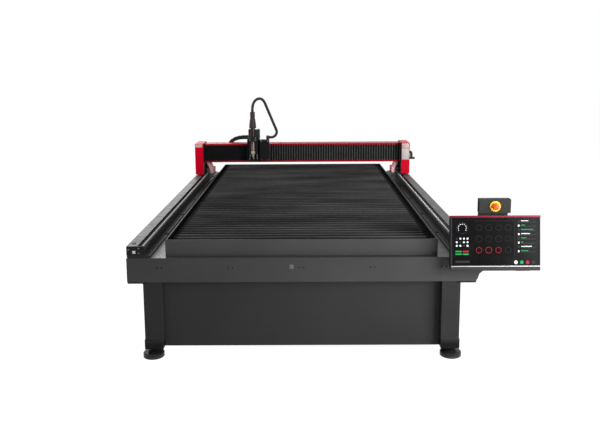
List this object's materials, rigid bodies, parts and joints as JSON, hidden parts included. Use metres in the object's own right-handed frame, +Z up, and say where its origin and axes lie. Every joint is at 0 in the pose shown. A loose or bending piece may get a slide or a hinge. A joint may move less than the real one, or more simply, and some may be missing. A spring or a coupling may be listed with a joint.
{
  "type": "cnc plasma cutting table",
  "caption": "Water table for plasma cutting with a rack driven gantry, a screw driven torch lifter, bellows, cable chain, levelling feet and a corner touch console.",
  "frame": {"origin": "middle of the four corner anchor holes, on the floor", "axes": "+X to the right seen from the operator at the front, +Y from the operator to the back along the rails, +Z up"},
  "size_m": [2.456, 3.5098, 1.4768],
  "materials": {
    "charcoal_coat": "satin charcoal powder coat",
    "red_coat": "gloss red powder coat",
    "dark_coat": "satin black coat",
    "pale_cover": "brushed light grey",
    "steel": "ground steel",
    "gear_steel": "oiled machined steel",
    "mill_steel": "mill scale and cutting stains",
    "aluminium": "milled aluminium",
    "black_plastic": "fine grained",
    "motor_case": "black motor paint",
    "bellows_fabric": "coated pleated cloth",
    "lead_rubber": "matt hose rubber",
    "pad_rubber": "moulded rubber",
    "barrel": "satin torch barrel",
    "cap_brass": "worn brass and copper",
    "valve_brass": "cast brass",
    "yellow": "moulded yellow",
    "stop_red": "moulded red",
    "screen": "dark display glass"
  },
  "bodies": {
    "table": {"front_apron": "charcoal_coat", "rear_apron": "charcoal_coat", "side_beams": "charcoal_coat", "cross_beams": "charcoal_coat", "legs": "charcoal_coat", "leveling_feet": "dark_coat", "foot_pads": "pad_rubber", "skirt_panels": "charcoal_coat", "water_pan": "charcoal_coat", "slat_combs": "mill_steel", "slats": "mill_steel", "rail_beams": "aluminium", "rail_covers": "pale_cover", "guide_rails": "steel", "rail_racks": "gear_steel", "rail_end_caps": "dark_coat", "drain_valve": "valve_brass", "drive_cabinet": "charcoal_coat", "console_bracket": "charcoal_coat", "monitor_housing": "black_plastic", "monitor_screen": "screen", "stop_box": "black_plastic", "stop_collar": "yellow"},
    "drain_handle": {"drain_lever": "red_coat"},
    "stop_head": {"stop_button": "stop_red"},
    "gantry": {"left_upright": "red_coat", "right_upright": "red_coat", "end_plates": "dark_coat", "gantry_beam": "aluminium", "beam_covers": "red_coat", "beam_guides": "steel", "beam_rack": "gear_steel", "truck_blocks": "steel", "drive_motors": "motor_case", "pinion_guards": "red_coat", "left_bellows": "bellows_fabric", "right_bellows": "bellows_fabric", "chain_tray": "dark_coat", "cable_chain": "black_plastic", "cable_elbow": "black_plastic"},
    "left_drive": {"left_pinion": "gear_steel"},
    "right_drive": {"right_pinion": "gear_steel"},
    "carriage": {"carriage_plate": "dark_coat", "carriage_blocks": "steel", "cross_motor": "motor_case", "motor_cover": "dark_coat", "lifter_frame": "dark_coat", "lift_rods": "steel", "lift_motor": "motor_case", "chain_bracket": "dark_coat", "chain_loop": "black_plastic", "lead_gland": "black_plastic"},
    "cross_drive": {"cross_pinion": "gear_steel"},
    "lift_drive": {"lift_screw": "steel"},
    "lift": {"lift_slide": "aluminium", "torch_clamp": "aluminium", "torch_body": "barrel", "torch_nozzle": "cap_brass", "torch_boot": "lead_rubber", "torch_lead": "lead_rubber"}
  },
  "joints": [
    {"name": "gantry_travel", "type": "slide", "parent": "table", "child": "gantry", "axis": [0, 1, 0], "range_m": [-2.576, 0.405]},
    {"name": "left_pinion_spin", "type": "hinge", "parent": "gantry", "child": "left_drive", "pos_m": [-0.952, 1.202, 0.744], "axis": [1, 0, 0], "range_deg": [-648, 4105]},
    {"name": "right_pinion_spin", "type": "hinge", "parent": "gantry", "child": "right_drive", "pos_m": [0.952, 1.202, 0.744], "axis": [1, 0, 0], "range_deg": [-648, 4105]},
    {"name": "carriage_travel", "type": "slide", "parent": "gantry", "child": "carriage", "axis": [1, 0, 0], "range_m": [-0.294, 1.181], "deforming": ["left_bellows", "right_bellows"]},
    {"name": "cross_pinion_spin", "type": "hinge", "parent": "carriage", "child": "cross_drive", "pos_m": [-0.377, 1.142, 0.9265], "axis": [0, 1, 0], "range_deg": [-845, 3386]},
    {"name": "torch_lift", "type": "slide", "parent": "carriage", "child": "lift", "axis": [0, 0, 1], "range_m": [-0.146, 0.004], "deforming": ["torch_lead"]},
    {"name": "lift_screw_spin", "type": "hinge", "parent": "carriage", "child": "lift_drive", "pos_m": [-0.481, 1.058, 0.97], "axis": [0, 0, 1], "range_deg": [-145, 5260]},
    {"name": "stop_press", "type": "slide", "parent": "table", "child": "stop_head", "axis": [0, 1, 0], "range_m": [0, 0.006], "stiffness_N_per_m": 600, "springref_m": -0.003},
    {"name": "drain_turn", "type": "hinge", "parent": "table", "child": "drain_handle", "pos_m": [-0.42, 0.896, 0.52], "axis": [0, 1, 0], "range_deg": [0, 90]}
  ],
  "couplings": [
    {"joint": "left_pinion_spin", "follows": "gantry_travel", "rad_per_m": -27.778},
    {"joint": "right_pinion_spin", "follows": "gantry_travel", "rad_per_m": -27.778},
    {"joint": "cross_pinion_spin", "follows": "carriage_travel", "rad_per_m": 50},
    {"joint": "lift_screw_spin", "follows": "torch_lift", "rad_per_m": -628.32}
  ]
}
